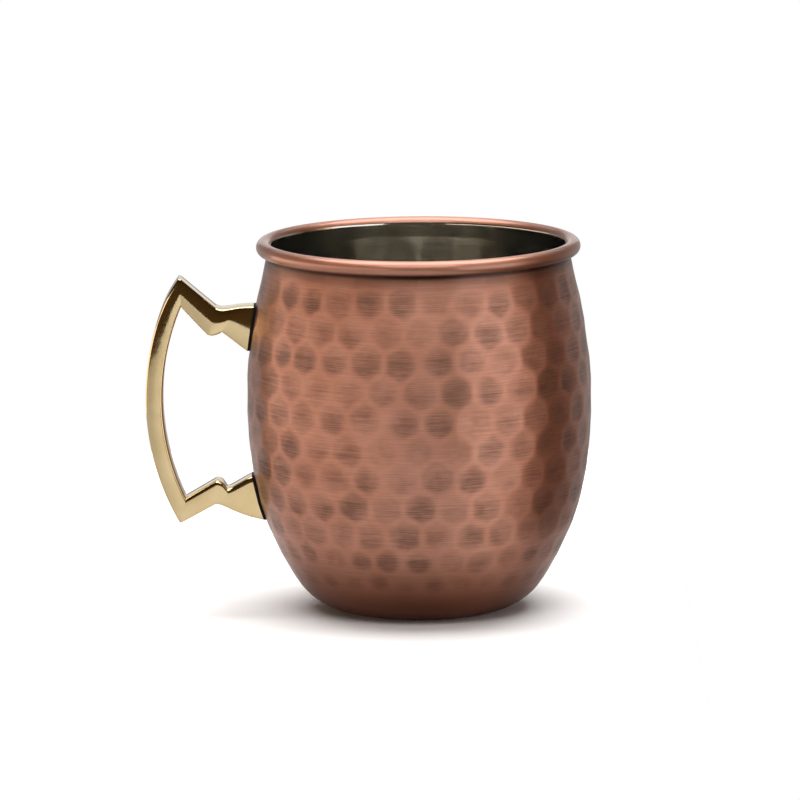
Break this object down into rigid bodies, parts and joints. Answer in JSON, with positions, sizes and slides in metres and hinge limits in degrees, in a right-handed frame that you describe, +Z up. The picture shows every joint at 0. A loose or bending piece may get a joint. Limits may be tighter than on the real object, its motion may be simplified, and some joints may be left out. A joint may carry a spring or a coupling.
{
  "type": "hammered copper mug",
  "caption": "Barrel-shaped hammered copper drinking mug with a rolled rim, a steel liner and an angular cast brass handle.",
  "frame": {"origin": "centre of the flat underside of the base, on the barrel's axis", "axes": "+Z up along the barrel's axis; the handle points along -X; Y is across the handle"},
  "size_m": [0.1162, 0.0898, 0.0975],
  "materials": {
    "copper": "hammered copper, satin, dark antique patina in the hollows",
    "liner_steel": "bright drawn stainless steel",
    "cast_brass": "polished cast brass",
    "gasket_rubber": "matt black",
    "fastener_steel": "satin stainless steel",
    "seal_rubber": "matt dark grey"
  },
  "bodies": {
    "root": {"outer_shell": "copper", "inner_liner": "liner_steel", "handle": "cast_brass", "upper_gasket": "gasket_rubber", "lower_gasket": "gasket_rubber", "upper_screw": "fastener_steel", "lower_screw": "fastener_steel", "upper_washer": "fastener_steel", "lower_washer": "fastener_steel", "upper_seal_washer": "seal_rubber", "lower_seal_washer": "seal_rubber"}
  },
  "joints": []
}
